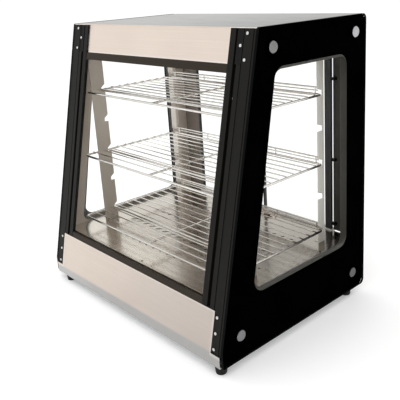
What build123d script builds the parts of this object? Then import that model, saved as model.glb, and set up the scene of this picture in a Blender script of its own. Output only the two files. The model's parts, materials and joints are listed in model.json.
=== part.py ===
from build123d import *
import math
import os

# Countertop heated display case: slanted glass front, glass sides held by
# round caps, two sliding glass doors at the back, three wire racks hung in
# notched uprights, a heater under the vented floor and a lamp in the header.
# Millimetres, +Z up, +X to the right seen from the front, +Y to the rear.
# Everything is drawn with y = 0 at the side glass's lower front corner and
# z = 0 at its lower edge, then moved so that the origin is the middle of the
# base at the level of the feet.

os.makedirs("parts", exist_ok=True)

# ---------------------------------------------------------------- driving sizes
WIDTH = 608.0            # over the two side glasses
DEPTH = 441.0            # side glass, front to rear at the base
HEIGHT = 600.0           # side glass height
FOOT_H = 17.0            # feet below the side glass
SLANT = 126.2            # how far the front leans back at the top
KNEE_Z = 33.9            # height where the front starts to lean
GLASS_T = 5.0            # side glass thickness
REAR_OUT = 447.0         # rearmost point (knob)
FRONT_OUT = -2.0         # front lip

HW = WIDTH / 2           # 304
GI = HW - GLASS_T        # inner face of the side glass, 299

RACK_Z = {"top": 441.0, "middle": 290.0, "bottom": 138.0}
RACK_FRONT = {"top": 109.0, "middle": 85.0, "bottom": 67.0}
RACK_BACK = 363.5
RACK_SIDE = 249.5
LEVELS = [138.0, 214.0, 290.0, 365.5, 441.0]
FRAME_R = 2.5            # rack frame wire radius
DECK_R = 1.35            # rack cross wire radius

COS = (HEIGHT - KNEE_Z) / math.hypot(HEIGHT - KNEE_Z, SLANT)

SHIFT = (0.0, -(REAR_OUT + FRONT_OUT) / 2, FOOT_H)


def yf(z, d=0.0):
    """y of the slanted front at height z, d millimetres behind its face."""
    base = SLANT * max(0.0, z - KNEE_Z) / (HEIGHT - KNEE_Z)
    return base + d / COS


# ---------------------------------------------------------------- helpers
def box(x0, x1, y0, y1, z0, z1):
    return Pos((x0 + x1) / 2, (y0 + y1) / 2, (z0 + z1) / 2) * Box(x1 - x0, y1 - y0, z1 - z0)


def yz_face(pts, radii=None):
    """Face in the YZ plane at x = 0; radii maps a point's index to a fillet."""
    face = make_face(Polyline(*[(p[0], p[1]) for p in pts], close=True))
    sk = Sketch() + face
    if radii:
        for i, r in radii.items():
            p = pts[i]
            near = sorted(sk.vertices(), key=lambda v: (v.X - p[0]) ** 2 + (v.Y - p[1]) ** 2)[0]
            sk = fillet(near, r)
    return sk


def prism_x(pts, x0, x1, radii=None):
    """Polygon of (y, z) points run from x0 to x1."""
    sk = yz_face(pts, radii)
    solid = extrude(Plane.YZ * sk, amount=x1 - x0)
    return Pos(x0, 0, 0) * solid


def slab(x0, x1, d0, d1, z0, z1):
    """Slab that follows the slanted front between depths d0 and d1."""
    zs = [z0] + ([KNEE_Z] if z0 < KNEE_Z < z1 else []) + [z1]
    front = [(yf(z, d0), z) for z in zs]
    back = [(yf(z, d1), z) for z in reversed(zs)]
    return prism_x(front + back, x0, x1)


def cyl_x(r, x0, x1, y, z):
    return Pos((x0 + x1) / 2, y, z) * Rot(0, 90, 0) * Cylinder(r, x1 - x0)


def cyl_y(r, y0, y1, x, z):
    return Pos(x, (y0 + y1) / 2, z) * Rot(90, 0, 0) * Cylinder(r, y1 - y0)


def cyl_z(r, z0, z1, x, y):
    return Pos(x, y, (z0 + z1) / 2) * Cylinder(r, z1 - z0)


def tube_path(points, r, bend):
    """Round rod along a polyline whose corners are bent to a radius."""
    line = Polyline(*points)
    wire = Wire(line.edges())
    if bend:
        wire = FilletPolyline(*points, radius=bend)
    start = Vector(*points[0])
    direction = Vector(*points[1]) - start
    prof = Plane(origin=start, z_dir=direction) * Circle(r)
    return sweep(prof, path=wire, transition=Transition.ROUND)


def flip(shape):
    return mirror(shape, about=Plane.YZ)


def solids_of(shape):
    out = []
    for s in (shape if isinstance(shape, (list, tuple)) else [shape]):
        out.extend(s.solids())
    return out


NODES = {}


def node(name, shape):
    NODES[name] = [Pos(*SHIFT) * s for s in solids_of(shape)]


# =============================================================== side walls
# outline of the side glass in (y, z)
side_pts = [(0, 0), (0, KNEE_Z), (SLANT, HEIGHT), (DEPTH, HEIGHT), (DEPTH, 0)]
side_glass = prism_x(side_pts, GI, HW, {0: 3, 2: 4, 3: 11, 4: 11})

# clear window in the printed border
win_z0, win_z1, win_y1 = 112.5, 526.9, 382.6
WIN_R = 25.0


def win_front(z):
    return 67.3 + 0.1968 * z


win_pts = [(win_front(win_z0), win_z0), (win_front(win_z1), win_z1), (win_y1, win_z1), (win_y1, win_z0)]

CAPS = [(157.5, 563.8), (400.5, 566.5), (394.5, 43.6), (46.5, 51.5)]
CAP_R = 10.8
STUD_R = 4.0
for (cy, cz) in CAPS:
    side_glass = side_glass - cyl_x(STUD_R + 0.6, GI - 1, HW + 1, cy, cz)

e = 0.3
border_pts = [(e, e), (e, KNEE_Z), (SLANT + e, HEIGHT - e), (DEPTH - e, HEIGHT - e), (DEPTH - e, e)]
border = prism_x(border_pts, GI - 0.35, GI - 0.04, {0: 3, 2: 4, 3: 11, 4: 11})
border = border - prism_x(win_pts, GI - 1, GI + 1, {i: WIN_R for i in range(4)})
for (cy, cz) in CAPS:
    border = border - cyl_x(STUD_R + 0.6, GI - 1, GI + 1, cy, cz)

# thick ring behind the border; its opening widens towards the cabin
RING_OUT, RING_IN = GI - 0.35, 282.9
ring_pts = [(yf(12, 31), 12), (yf(KNEE_Z, 31), KNEE_Z), (yf(598, 31), 598), (434.4, 598), (434.4, 104.6), (423.8, 104.6), (423.8, 12)]
ring = prism_x(ring_pts, RING_IN, RING_OUT)
outer_open = [(65.3 + 0.1968 * 121, 121), (65.3 + 0.1968 * 522, 522), (385.6, 522), (385.6, 121)]
inner_open = [(48.7 + 0.2175 * 110.4, 110.4), (48.7 + 0.2175 * 531, 531), (383.6, 531), (383.6, 110.4)]
f_out = Pos(RING_OUT + 0.01, 0, 0) * (Plane.YZ * yz_face(outer_open, {i: WIN_R - 2 for i in range(4)}))
f_in = Pos(RING_IN - 0.01, 0, 0) * (Plane.YZ * yz_face(inner_open, {i: WIN_R - 5 for i in range(4)}))
ring = ring - loft([f_in.faces()[0], f_out.faces()[0]])
for (cy, cz) in CAPS:
    ring = ring - cyl_x(STUD_R + 0.02, RING_OUT - 9, RING_OUT + 1, cy, cz)

# stainless lining sheet on the cabin side
LIN_IN, LIN_OUT = 281.7, 282.9
lin_pts = [(yf(104, 12.6), 104), (yf(559, 12.6), 559), (434.4, 559), (434.4, 104.6), (423.8, 104.6), (423.8, 104)]
liner = prism_x(lin_pts, LIN_IN, LIN_OUT)
liner = liner - prism_x(inner_open, LIN_IN - 1, LIN_OUT + 1, {i: WIN_R - 5 for i in range(4)})

# mirror caps with their studs
caps = []
for (cy, cz) in CAPS:
    disc = cyl_x(CAP_R, HW + 0.0, HW + 4.0, cy, cz)
    disc = chamfer(disc.edges().group_by(Axis.X)[-1], 0.9)
    stud = cyl_x(STUD_R, RING_OUT - 8.5, HW + 0.5, cy, cz)
    caps.append(disc + stud)
# the caps stand out by 4 mm on each side of the glass
CAP_OUT = HW + 4.0

node("side_glass_right", side_glass)
node("side_glass_left", flip(side_glass))
node("side_border_right", border)
node("side_border_left", flip(border))
node("side_frame_right", ring)
node("side_frame_left", flip(ring))
node("side_liner_right", liner)
node("side_liner_left", flip(liner))
node("glass_caps_right", caps)
node("glass_caps_left", [flip(c) for c in caps])

# =============================================================== front posts
PZ0, PZ1 = 24.4, 598.0
G_X = 245.0
LOW = 103.4              # below this the lower panel covers the inner part


def post_part(x0, x1, d0, d1, z0=LOW, z1=PZ1):
    return slab(x0, x1, d0, d1, z0, z1)


post = post_part(237.2, G_X, 0.0, 4.7)                       # lip over the glass edge
post = post + post_part(G_X, 251.0, 0.0, 12.0)
post = post + post_part(251.0, 259.5, 6.5, 12.0)             # deep groove
post = post + post_part(259.5, 270.2, 0.0, 12.0)
post = post + post_part(270.2, 272.0, 1.6, 12.0)             # fine line
post = post + post_part(272.0, 274.6, 0.0, 12.0)
post = post + post_part(274.6, 293.2, 0.0, 12.0, PZ0, PZ1)
post = post + post_part(293.2, 294.8, 1.4, 12.0, PZ0, PZ1)   # fine line
post = post + post_part(294.8, GI - 0.35, 0.4, 12.0, PZ0, PZ1)
post = post + post_part(284.2, GI - 0.35, 12.0, 30.8, PZ0, PZ1)  # side flange
# pocket for the filler plate at the head of the post
post = post - slab(255.0, 268.6, -1.0, 2.2, 536.8, 599.0)
post = post - slab(251.0, 259.5, -1.0, 9.0, 526.0, 536.8)
filler = slab(255.15, 268.45, 0.6, 2.2, 537.0, 597.8)
# clearance under the filler where the groove runs
SCREWS = [(279.6, 590.0), (265.0, 569.0), (278.6, 545.5), (281.5, 93.4), (281.5, 63.8), (281.5, 34.0)]
screws = []


def front_screw(x, z, d):
    """Pan head screw square to the slanted front, head standing d proud."""
    ang = math.degrees(math.atan2(SLANT, HEIGHT - KNEE_Z)) if z > KNEE_Z + 2 else 0.0
    head = Cylinder(2.9, 1.6)
    head = fillet(head.edges().group_by(Axis.Z)[-1], 0.9)
    head = head - Pos(0, 0, 0.8) * Box(3.4, 0.7, 0.8) - Pos(0, 0, 0.8) * Box(0.7, 3.4, 0.8)
    shank = Pos(0, 0, -4.7) * Cylinder(1.45, 7.9)
    s = head + shank
    # local +Z points out of the slanted face
    place = Pos(x, yf(z, d - 0.85), z) * Rot(90 - ang, 0, 0)
    return place * s


def screw_bore(x, z, d):
    ang = math.degrees(math.atan2(SLANT, HEIGHT - KNEE_Z)) if z > KNEE_Z + 2 else 0.0
    return Pos(x, yf(z, d - 0.8), z) * Rot(90 - ang, 0, 0) * Pos(0, 0, -4.7) * Cylinder(1.5, 9.0)


for (sx, sz) in SCREWS:
    d = 0.6 if sx < 270 else 0.0
    screws.append(front_screw(sx, sz, d))
    post = post - screw_bore(sx, sz, d)
    filler = filler - screw_bore(sx, sz, d)
# small screw in the groove
gs = front_screw(263.0 - 7.0, 477.0, 6.5)
post = post - screw_bore(256.0, 477.0, 6.5)
screws.append(gs)

node("front_post_right", post)
node("front_post_left", flip(post))
node("post_head_plate_right", filler)
node("post_head_plate_left", flip(filler))
node("post_screws", screws + [flip(s) for s in screws])

# =============================================================== front rails and glass
FG_D0, FG_D1 = 5.0, 9.5
front_glass = slab(-G_X + 0.6, G_X - 0.6, FG_D0, FG_D1, 106.2, 533.0)
node("front_glass", front_glass)

RX = G_X - 0.4
low_rail = slab(-237.0, 237.0, 0.5, 4.8, 103.0, 114.9)
low_rail = low_rail + slab(-RX, RX, 9.7, 12.0, 103.0, 112.8)
low_rail = low_rail + slab(-237.0, 237.0, 0.5, 12.0, 103.0, 106.0)
low_rail = low_rail + slab(-RX, RX, 5.0, 12.0, 103.0, 106.0)
node("front_rail_bottom", low_rail)

up_rail = slab(-237.0, 237.0, 0.8, 4.8, 520.6, 536.0)
up_rail = up_rail + slab(-RX, RX, 9.7, 12.0, 520.6, 536.0)
up_rail = up_rail + slab(-237.0, 237.0, 0.8, 12.0, 533.6, 536.0)
up_rail = up_rail + slab(-RX, RX, 5.0, 12.0, 533.6, 536.0)
node("front_rail_top", up_rail)

# =============================================================== top cover
ROOF_T = 1.4
roof = prism_x([(yf(599.4, 0.8), 598.0), (yf(599.4, 0.8), 599.4), (440.4, 599.4), (440.4, 598.0)],
               -GI + 0.5, GI - 0.5)
# header panel folded down along the slant between the posts
HX = 236.8
panel = slab(-HX, HX, 3.0, 4.2, 536.4, 598.0)
hem_side = slab(HX - 1.2, HX, 3.0, 9.0, 536.4, 598.0)
hem_low = slab(-HX, HX, 3.0, 9.0, 536.4, 537.6)
cover = roof + panel + hem_side + flip(hem_side) + hem_low
node("top_cover", cover)

# ceiling sheet of the cabin with turned-up edges
CF = yf(574, 12.8)
ceil = box(-LIN_IN, LIN_IN, CF, 418.0, 559.0, 560.2)
ceil = ceil + box(-LIN_IN, LIN_IN, CF, CF + 1.2, 559.0, 574.0)
ceil = ceil + box(-LIN_IN, LIN_IN, 416.8, 418.0, 559.0, 574.0)
for lx in (-163.0, 163.0):
    ceil = ceil - cyl_z(3.0, 555, 565, lx, 160.0)
node("ceiling_panel", ceil)

# =============================================================== lower front panel
# one sheet: upright lip below, slanted panel above, hem behind its top edge
tp = 1.2
zt = 102.6
y_top = yf(zt, 0.0)
outer = [(FRONT_OUT, 0.0), (FRONT_OUT, 24.0), (y_top, zt)]
slx, slz = y_top - FRONT_OUT, zt - 24.0
ln = math.hypot(slx, slz)
nx, nz = slz / ln, -slx / ln          # inward normal of the slanted run
inner = [(y_top + nx * tp, zt + nz * tp), (FRONT_OUT + tp, 24.0 - 0.1), (FRONT_OUT + tp, 0.0)]
sheet = prism_x(outer + inner, -273.4, 273.4)
lip = box(-297.0, 297.0, FRONT_OUT, FRONT_OUT + tp, 0.0, 24.0)
hem = prism_x([(y_top, zt), (y_top + 11, zt), (y_top + 11, zt - tp), (y_top + 0.25, zt - tp)], -273.4, 273.4)
side_hem = prism_x([(FRONT_OUT + 0.4, 25.0), (y_top, zt), (y_top + 8, zt), (FRONT_OUT + 9, 25.0)], 272.2, 273.4)
lower_panel = sheet + lip + hem + side_hem + flip(side_hem)
node("lower_front_panel", lower_panel)

# =============================================================== base
TR_X = 297.0
tray = box(-TR_X, TR_X, FRONT_OUT + tp, 426.4, 0.0, 1.5)
tray = tray + box(-TR_X + 3, TR_X - 3, FRONT_OUT + tp, FRONT_OUT + tp + 1.2, 0.0, 20.0)
wall = box(280.2, 281.7, 30.0, 426.4, 0.0, 104.0)
# ledges that carry the floor
wall = wall + box(268.0, 281.7, 34.0, 420.0, 107.3, 108.8) + box(280.2, 281.7, 34.0, 423.8, 104.0, 108.8)
tray = tray + wall + flip(wall)
feet_xy = [(286.0, 11.0), (-262.0, 13.0), (286.0, 397.0), (-262.0, 397.0)]
for (fx, fy) in feet_xy:
    tray = tray - cyl_z(2.6, -1, 3, fx, fy)
# vent slots in the bottom
for i in range(-5, 6):
    tray = tray - Pos(i * 30.0, 215.0, 0.75) * Box(6.0, 90.0, 4.0)
node("base_tray", tray)

# feet and their screws
feet, foot_screws = [], []
for (fx, fy) in feet_xy:
    f = Cone(10.6, 12.2, FOOT_H, align=(Align.CENTER, Align.CENTER, Align.MIN))
    f = fillet(f.edges().group_by(Axis.Z)[0], 1.6)
    f = f - Cylinder(5.6, 6.0, align=(Align.CENTER, Align.CENTER, Align.MIN))
    f = f - Cylinder(2.55, 40.0)
    feet.append(Pos(fx, fy, -FOOT_H) * f)
    s = Cylinder(4.6, 2.6, align=(Align.CENTER, Align.CENTER, Align.MIN))
    s = s - Box(5.0, 1.1, 1.6)
    s = s + Pos(0, 0, 2.6) * Cylinder(2.45, 14.6, align=(Align.CENTER, Align.CENTER, Align.MIN))
    nut = Pos(0, 0, FOOT_H - 3.4 + 1.5) * extrude(RegularPolygon(4.0, 6), amount=3.4)
    foot_screws.append(Pos(fx, fy, -FOOT_H + 3.4) * (s + nut))
node("feet", feet)
node("foot_screws", foot_screws)

# vented floor of the cabin
FL_Z0, FL_Z1 = 108.8, 110.0
fl_front = yf(110, 12.4)
floor = box(-LIN_IN + 0.1, LIN_IN - 0.1, fl_front, 424.0, FL_Z0, FL_Z1)
floor = floor + box(-240.0, 240.0, fl_front, fl_front + 1.2, 96.0, FL_Z1)
# rear corners reach past the ends of the door track
floor = floor + box(227.2, LIN_IN - 0.1, 423.0, 429.0, FL_Z0, FL_Z1) + box(-LIN_IN + 0.1, -227.2, 423.0, 429.0, FL_Z0, FL_Z1)
cuts = []
ang = math.degrees(math.atan2(0.64, 0.77))
SLOT_X0, SLOT_P = 6.3, 25.4
for ry in (173.0, 250.0, 326.0):
    for i in range(-8, 9):
        sx = SLOT_X0 + SLOT_P * i
        if abs(sx) > 226:
            continue
        slot = SlotOverall(18.0, 4.4, rotation=ang)
        cuts.append(Pos(sx, ry, FL_Z0 - 1) * extrude(slot, amount=4))
for i in range(-8, 9):
    sx = SLOT_X0 + SLOT_P * i
    if abs(sx) <= 226:
        cuts.append(cyl_z(2.6, FL_Z0 - 1, FL_Z1 + 1, sx, 97.0))
cuts.append(cyl_z(3.0, FL_Z0 - 1, FL_Z1 + 1, 15.0, 41.0))
for (hx, hy) in ((274.6, 321.0), (228.9, 180.0), (-228.9, 180.0), (-274.6, 321.0)):
    cuts.append(cyl_z(2.4, FL_Z0 - 1, FL_Z1 + 1, hx, hy))
floor = floor - cuts
node("floor_plate", floor)

# =============================================================== rack uprights
UX0, UX1 = 244.5, 246.0
UZ0, UZ1 = 110.0, 559.0


def front_upright():
    y0, y1 = 118.0, 156.0
    zc = KNEE_Z + (y0 - 13.8 / COS) * (HEIGHT - KNEE_Z) / SLANT
    pts = [(y0, UZ0), (y0, zc), (yf(UZ1, 13.8), UZ1), (y1, UZ1), (y1, UZ0)]
    p = prism_x(pts, UX0, UX1)
    for zw in LEVELS:
        zb = zw - FRAME_R - 0.1
        p = p - prism_x([(y1 - 10, zb), (y1 + 2, zb), (y1 + 2, zb + 17.4), (y1, zb + 16.5), (y1 - 10, zb + 8.5)], UX0 - 1, UX1 + 1)
    p = p + box(UX0 - 11.5, UX1, y0 + 4, y1 - 4, UZ0, UZ0 + 1.5)
    p = p + box(UX0 - 11.5, UX1, y0 + 18, y1 - 2, UZ1 - 1.5, UZ1)
    return p


def rear_upright():
    y0, y1 = 354.0, 375.4
    p = box(UX0, UX1, y0, y1, UZ0, UZ1)
    for zw in LEVELS:
        zb = zw - FRAME_R - 0.1
        p = p - prism_x([(y0 + 16, zb), (y0 - 2, zb), (y0 - 2, zb + 16.5), (y0, zb + 16.0), (y0 + 16, zb + 10.5)], UX0 - 1, UX1 + 1)
    p = p + box(UX0 - 11.5, UX1, y0 + 4, y1 - 4, UZ0, UZ0 + 1.5)
    p = p + box(UX0 - 11.5, UX1, y0 + 4, y1 - 4, UZ1 - 1.5, UZ1)
    return p


fu, ru = front_upright(), rear_upright()
node("rack_upright_front_right", fu)
node("rack_upright_front_left", flip(fu))
node("rack_upright_rear_right", ru)
node("rack_upright_rear_left", flip(ru))

# =============================================================== wire racks


def rack(zw, y_front):
    s, yb = RACK_SIDE, RACK_BACK
    outline = Pos(0, (y_front + yb) / 2, zw) * RectangleRounded(2 * s, yb - y_front, 9.0)
    loop = outline.wires()[0]
    prof = Plane(origin=loop @ 0, z_dir=loop % 0) * Circle(FRAME_R)
    r = sweep(prof, path=loop)
    # deck wires across, resting on the frame
    n = max(2, round((yb - y_front) / 23.3))
    step = (yb - y_front) / n
    zd = zw + FRAME_R + DECK_R - 0.5
    wires = []
    for i in range(1, n):
        y = y_front + step * i
        half = s + 1.0
        if 118 - 9.6 < y < 156 + 3.2 or y > 354 - 9.6:
            half = UX0 - 1.2
        wires.append(cyl_x(DECK_R, -half, half, y, zd))
    # stiffener across, lying in the front notches
    wires.append(cyl_x(FRAME_R - 0.1, -s - 0.7, s + 0.7, 150.0, zw - 0.05))
    # centre stiffener front to back
    wires.append(cyl_y(2.3, y_front - 0.6, yb + 0.6, 4.0, zw - 0.1))
    # low backstop between the rear uprights
    for x in (-232, -116, -1.5, 116, 232):
        wires.append(cyl_z(1.5, zw - 1.1, zw + 14.2, x, yb + 2.3))
    wires.append(cyl_x(1.75, -238, 238, yb + 2.45, zw + 14.0))
    wires.append(cyl_x(1.35, -238, 238, yb + 2.4, zw + 7.6))
    return r + wires


for key in ("top", "middle", "bottom"):
    node("wire_rack_" + key, rack(RACK_Z[key], RACK_FRONT[key]))

# =============================================================== rear frame
PIX = 226.4              # inner edge of the rear posts
RP_Y0, RP_Y1 = 424.0, 440.0
POST_Y = 434.6           # the posts are shallow box sections on the back of the side frames
rpost = box(PIX, GI - 0.35, POST_Y, RP_Y1, 110.4, 598.0)
rpost = rpost - box(PIX + 1.2, GI - 1.55, POST_Y + 1.2, RP_Y1 - 1.2, 109.0, 599.0)
node("rear_post_right", rpost)
node("rear_post_left", flip(rpost))

IN0, IN1 = 426.4, 431.2      # inner channel
OUT0, OUT1 = 433.4, 438.2    # outer channel
bt = box(-PIX, PIX, RP_Y0, RP_Y1, 104.2, 113.0)
bt = bt - box(-PIX - 1, PIX + 1, IN0, IN1, 107.0, 114.0) - box(-PIX - 1, PIX + 1, OUT0, OUT1, 107.0, 114.0)
node("rear_track_bottom", bt)
tt = box(-PIX, PIX, RP_Y0, RP_Y1, 546.0, 598.0)
tt = tt - box(-PIX - 1, PIX + 1, IN0, IN1, 545.0, 562.0) - box(-PIX - 1, PIX + 1, OUT0, OUT1, 545.0, 562.0)
tt = tt - box(-PIX + 2, PIX - 2, RP_Y0 + 1.6, RP_Y1 - 1.6, 564.0, 596.4)
node("rear_track_top", tt)

# sliding doors: the right one on the inner track, the left one on the outer
DZ0, DZ1 = 107.3, 552.0
gy_in, gy_out = (IN0 + IN1) / 2, (OUT0 + OUT1) / 2


def grip(yc, x0, x1):
    """Black stile over the outer edge of a door, with a finger channel."""
    g = box(x0, x1, yc - 3.1, yc + 3.1, 114.0, 545.0)
    g = g - box(x0 - 1, x1 - 2.0, yc - 2.05, yc + 2.05, 113.0, 546.0)
    return g


dr_glass = box(-13.0, 221.5, gy_in - 2.0, gy_in + 2.0, DZ0, DZ1)
dl_glass = box(-223.1, 13.0, gy_out - 2.0, gy_out + 2.0, DZ0, DZ1)
node("door_glass_right", dr_glass)
node("door_glass_left", dl_glass)
gr = grip(gy_in, 209.6, 226.2)
# the outer door has a slim edge channel
gl = flip(grip(gy_out, 220.8, 225.2))
# grip rib on the outside of the wide stile
pull_r = box(211.5, 217.0, gy_in + 3.1, gy_in + 3.6, 270.0, 390.0)
gr = gr + pull_r
node("door_stile_right", gr)
node("door_stile_left", gl)
trim_r = box(-15.0, -9.0, gy_in - 3.1, gy_in + 3.1, 114.0, 545.0) - box(-13.05, -8.0, gy_in - 2.05, gy_in + 2.05, 113.0, 546.0)
trim_l = box(9.0, 15.0, gy_out - 3.1, gy_out + 3.1, 114.0, 545.0) - box(8.0, 13.05, gy_out - 2.05, gy_out + 2.05, 113.0, 546.0)
node("door_edge_trim_right", trim_r)
node("door_edge_trim_left", trim_l)

bufs = []
for bz in (128.0, 281.0, 463.0):
    bufs.append(box(226.6, 236.0, gy_in - 2.6, POST_Y, bz - 3.0, bz + 3.0))
    bufs.append(box(-PIX, -225.5, POST_Y + 0.3, RP_Y1 - 0.3, bz - 3.0, bz + 3.0))
node("door_buffers", bufs)

# =============================================================== rear control panel
BP0, BP1 = 427.0, 428.4
bpanel = box(-TR_X, TR_X, BP0, BP1, 0.0, 104.0)
bpanel = bpanel + box(-TR_X, TR_X, BP0 - 0.6, 424.2 + 15.0, 102.8, 104.0)
KNOB = (150.0, 55.0)
SW1, SW2 = (75.0, 55.0), (30.0, 55.0)
LAMP = (112.0, 55.0)
INLET = (-190.0, 52.0)
bpanel = bpanel - cyl_y(4.0, BP0 - 2, BP1 + 2, *KNOB)
for (sx, sz) in (SW1, SW2):
    bpanel = bpanel - box(sx - 10.8, sx + 10.8, BP0 - 2, BP1 + 2, sz - 14.2, sz + 14.2)
bpanel = bpanel - cyl_y(5.0, BP0 - 2, BP1 + 2, *LAMP)
bpanel = bpanel - box(INLET[0] - 13.7, INLET[0] + 13.7, BP0 - 2, BP1 + 2, INLET[1] - 10.0, INLET[1] + 10.0)
for i in range(9):
    vx = -120.0 + i * 14.0
    bpanel = bpanel - box(vx - 2.0, vx + 2.0, BP0 - 2, BP1 + 2, 34.0, 76.0)
node("rear_base_panel", bpanel)

# thermostat with its turning knob
kx, kz = KNOB
tbody = box(kx - 19, kx + 19, BP0 - 30.0, BP0, kz - 19, kz + 19)
tbody = tbody - cyl_y(3.05, BP0 - 12.0, BP0 + 1, kx, kz)
node("thermostat_body", tbody)
knob = cyl_y(17.0, BP1 + 0.7, BP1 + 4.2, kx, kz)
knob = knob + cyl_y(12.0, BP1 + 4.0, REAR_OUT, kx, kz)
knob = fillet(knob.edges().group_by(Axis.Y)[-1], 1.0)
knob = knob + box(kx - 2.6, kx + 2.6, BP1 + 4.0, REAR_OUT - 0.6, kz - 15.8, kz + 15.8)
knob = knob - box(kx - 0.6, kx + 0.6, REAR_OUT - 1.3, REAR_OUT + 1, kz + 4.0, kz + 16.5)
for i in range(24):
    a = math.radians(15 * i)
    knob = knob - cyl_y(0.9, BP1 + 0.0, BP1 + 4.0, kx + 17.2 * math.cos(a), kz + 17.2 * math.sin(a))
shaft = cyl_y(3.0, BP0 - 11.0, BP1 + 2.0, kx, kz)
knob = knob + shaft
node("thermostat_knob", knob)

# rocker switches: one housing each, one rocker each
hous, rockers = [], []
for (sx, sz) in (SW1, SW2):
    h = box(sx - 10.5, sx + 10.5, BP0 - 18.0, BP1 + 0.1, sz - 14.0, sz + 14.0)
    flange = box(sx - 12.5, sx + 12.5, BP1, BP1 + 1.8, sz - 16.0, sz + 16.0)
    flange = chamfer(flange.edges().group_by(Axis.Y)[-1], 0.6)
    h = h + flange
    h = h - box(sx - 8.2, sx + 8.2, BP0 - 9.0, BP1 + 3, sz - 11.6, sz + 11.6)
    # half bearings for the pivot pins
    h = h - cyl_x(1.55, sx - 10.0, sx + 10.0, BP0 - 1.5, sz)
    hous.append(h)
    pivot_y, pivot_z = BP0 - 1.5, sz
    rk = prism_x([(BP0 - 4.6, sz - 6.0), (BP0 - 4.6, sz + 6.0), (BP1 + 0.2, sz + 10.4), (BP1 + 4.0, sz + 9.6),
                  (BP1 + 1.9, sz), (BP1 + 2.0, sz - 10.2), (BP1 - 1.4, sz - 10.4)], sx - 7.8, sx + 7.8)
    pins = cyl_x(1.5, sx - 9.6, sx + 9.6, pivot_y, pivot_z)
    rockers.append(rk + pins)
node("switch_housings", hous)
node("heater_switch", rockers[0])
node("light_switch", rockers[1])

lx, lz = LAMP
pl = cyl_y(4.8, BP0 - 14.0, BP1 + 0.1, lx, lz) + cyl_y(6.6, BP1, BP1 + 1.6, lx, lz)
dome = Pos(lx, BP1 + 1.5, lz) * Rot(-90, 0, 0) * Cone(5.0, 3.4, 3.0, align=(Align.CENTER, Align.CENTER, Align.MIN))
node("pilot_lamp", pl + dome)

ix, iz = INLET
inl = box(ix - 13.4, ix + 13.4, BP0 - 22.0, BP1 + 0.1, iz - 9.7, iz + 9.7)
inl = inl + box(ix - 25.0, ix + 25.0, BP1, BP1 + 2.4, iz - 11.2, iz + 11.2)
inl = inl - box(ix - 11.8, ix + 11.8, BP0 - 14.0, BP1 + 4, iz - 8.0, iz + 8.0)
for px in (-7.0, 0.0, 7.0):
    pz = 2.0 if px == 0 else -2.0
    inl = inl + box(ix + px - 1.1, ix + px + 1.1, BP0 - 15.0, BP0 - 1.0, iz + pz - 2.4, iz + pz + 2.4)
for px in (-20.0, 20.0):
    inl = inl - cyl_y(1.6, BP1 - 1, BP1 + 4, ix + px, iz)
node("power_inlet", inl)

# =============================================================== heater and wiring in the base
HZ = 78.0
element = tube_path([(-150, 396, HZ), (-150, 75, HZ), (-50, 75, HZ), (-50, 330, HZ), (50, 330, HZ), (50, 75, HZ),
                     (150, 75, HZ), (150, 384, HZ)], 4.0, 26.0)
term = cyl_y(2.2, 396, 410, -150, HZ) + cyl_y(6.0, 388, 397, -150, HZ)
term2 = cyl_y(2.2, 384, 392, 150, HZ) + cyl_y(6.0, 376, 385, 150, HZ)
node("heating_element", element + term + term2)

brs = []
for by in (120.0, 290.0):
    b = box(-180, 180, by - 9, by + 9, HZ - 5.2, HZ - 4.0)
    b = b + box(-180, -178.8, by - 9, by + 9, 1.5, HZ - 4.0) + box(178.8, 180, by - 9, by + 9, 1.5, HZ - 4.0)
    b = b + box(-192, -178.8, by - 9, by + 9, 1.5, 2.7) + box(178.8, 192, by - 9, by + 9, 1.5, 2.7)
    brs.append(b)
node("heater_brackets", brs)

# thermostat bulb clipped on the rear of the cabin floor, with its capillary
bulb = cyl_x(3.0, -30, 60, 407.0, 115.0)
cap_tube = tube_path([(58, 407, 115), (72, 407, 115), (72, 407, 62), (130.9, 407, 62)], 0.9, 3.0)
floor_hole = cyl_z(2.0, 100, 120, 72, 407)
node("thermostat_bulb", bulb + cap_tube)
clips = []
for cx in (-20.0, 45.0):
    c = box(cx - 4, cx + 4, 402.0, 412.0, 110.0, 119.4) - cyl_x(3.05, cx - 5, cx + 5, 407.0, 115.0)
    c = c - box(cx - 5, cx + 5, 402.0 + 1.6, 412.0 - 1.6, 109.0, 113.0)
    clips.append(c)
node("bulb_clips", clips)

tb = box(-70, -20, 380, 400, 1.5, 18.0)
for i in range(5):
    tx = -65 + i * 10
    tb = tb - box(tx - 3.4, tx + 3.4, 382, 398, 12.0, 19.0)
    tb = tb + cyl_z(2.2, 11.5, 15.0, tx, 390)
node("terminal_block", tb)

wires = []


def lead(points, r=1.3, bend=5.0):
    wires.append(tube_path(points, r, bend))


lead([(INLET[0] + 4, BP0 - 22.0, INLET[1]), (INLET[0] + 4, 395, INLET[1]), (INLET[0] + 4, 395, 24), (-65, 395, 24), (-65, 395, 15.2)])
lead([(INLET[0] - 4, BP0 - 22.0, INLET[1]), (INLET[0] - 4, 388, INLET[1]), (INLET[0] - 4, 388, 30), (-55, 388, 30), (-55, 388, 15.2)])
lead([(-150, 410, HZ), (-150, 417, HZ), (-150, 417, 36), (-45, 417, 36), (-45, 392, 36), (-45, 392, 15.2)])
lead([(SW1[0], BP0 - 18.0, SW1[1]), (SW1[0], 398, SW1[1]), (SW1[0], 398, 26), (-35, 398, 26), (-35, 392, 15.2)], bend=3.0)
lead([(SW2[0], BP0 - 18.0, SW2[1]), (SW2[0], 402, SW2[1]), (SW2[0], 402, 40), (-25, 402, 40), (-25, 392, 15.2)], bend=3.0)
node("base_wiring", wires)

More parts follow.
